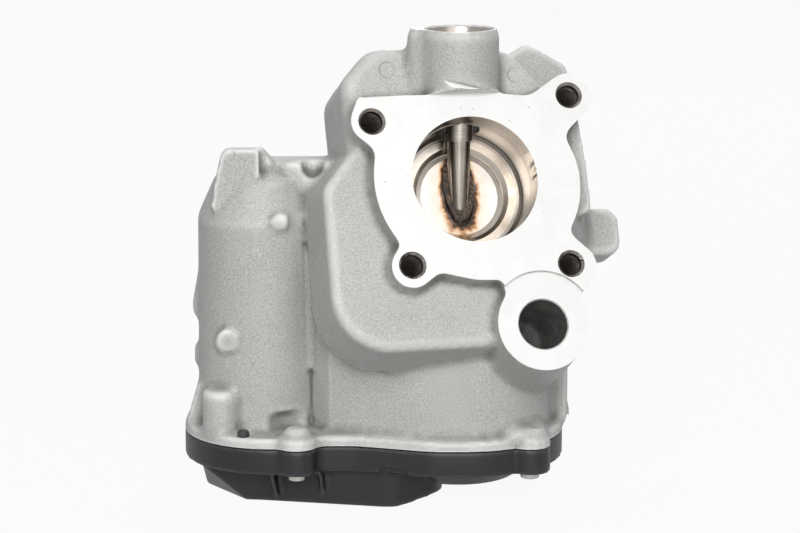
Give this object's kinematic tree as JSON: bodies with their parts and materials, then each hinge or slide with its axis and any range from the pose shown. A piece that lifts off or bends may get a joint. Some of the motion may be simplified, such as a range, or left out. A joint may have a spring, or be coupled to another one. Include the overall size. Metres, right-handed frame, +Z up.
{
  "type": "exhaust gas valve",
  "caption": "Motor-driven exhaust gas valve: cast housing with slanted gas flange, flap on a geared shaft, coolant duct and black gear cover",
  "frame": {"origin": "centre of the gas inlet bore on the machined flange face", "axes": "+Z up along the flap shaft, -Y towards the front, +X to the right along the gear case"},
  "size_m": [0.1368, 0.0894, 0.1443],
  "materials": {
    "cast_aluminium": "sand-textured casting with milled faces",
    "stainless": "turned, tinted by heat",
    "shaft_steel": "ground",
    "weld_steel": "dark weld",
    "bush_steel": "sintered",
    "spring_steel": "drawn wire",
    "motor_steel": "plated",
    "magnet": "sintered",
    "armature": "laminated",
    "brass": "machined",
    "screw_steel": "zinc",
    "cover_plastic": "fine-grained",
    "gear_plastic": "moulded",
    "cap_plastic": "moulded",
    "rubber": "moulded",
    "board": "lacquered",
    "plug_plastic": "moulded"
  },
  "bodies": {
    "housing": {"valve_housing": "cast_aluminium", "seat_ring": "stainless", "upper_bush": "bush_steel", "lower_bush": "bush_steel", "shaft_seal": "rubber", "shaft_bearing": "motor_steel", "bearing_circlip": "spring_steel", "port_plug": "screw_steel", "vent_plug": "plug_plastic", "return_spring": "spring_steel", "intermediate_axle": "motor_steel", "motor_can": "motor_steel", "motor_magnets": "magnet", "motor_end_cap": "cap_plastic", "motor_screws": "screw_steel", "motor_spring_washer": "spring_steel", "cover_gasket": "rubber", "gear_cover": "cover_plastic", "cover_screws": "screw_steel", "sensor_board": "board", "connector_pins": "brass"},
    "flap": {"flap_disc": "stainless", "valve_shaft": "shaft_steel", "weld_beads": "weld_steel", "output_gear": "gear_plastic", "sensor_magnet": "magnet"},
    "gear": {"intermediate_gear": "gear_plastic"},
    "motor": {"motor_rotor": "armature", "drive_pinion": "brass"}
  },
  "joints": [
    {"name": "valve_shaft_turn", "type": "hinge", "parent": "housing", "child": "flap", "pos_m": [-0.0046, 0.01847, 0], "axis": [0, 0, 1], "range_deg": [0, 75], "stiffness_Nm_per_rad": 0.08, "springref_deg": -20.05, "deforming": ["return_spring"]},
    {"name": "intermediate_gear_turn", "type": "hinge", "parent": "housing", "child": "gear", "pos_m": [-0.0373, 0.02297, -0.09], "axis": [0, 0, 1], "range_deg": [-236.38, 2]},
    {"name": "motor_turn", "type": "hinge", "parent": "housing", "child": "motor", "pos_m": [-0.06615, 0.01847, -0.045], "axis": [0, 0, 1], "range_deg": [-8, 842.96]}
  ],
  "couplings": [
    {"joint": "intermediate_gear_turn", "follows": "valve_shaft_turn", "ratio": -3.125},
    {"joint": "motor_turn", "follows": "valve_shaft_turn", "ratio": 11.133}
  ]
}
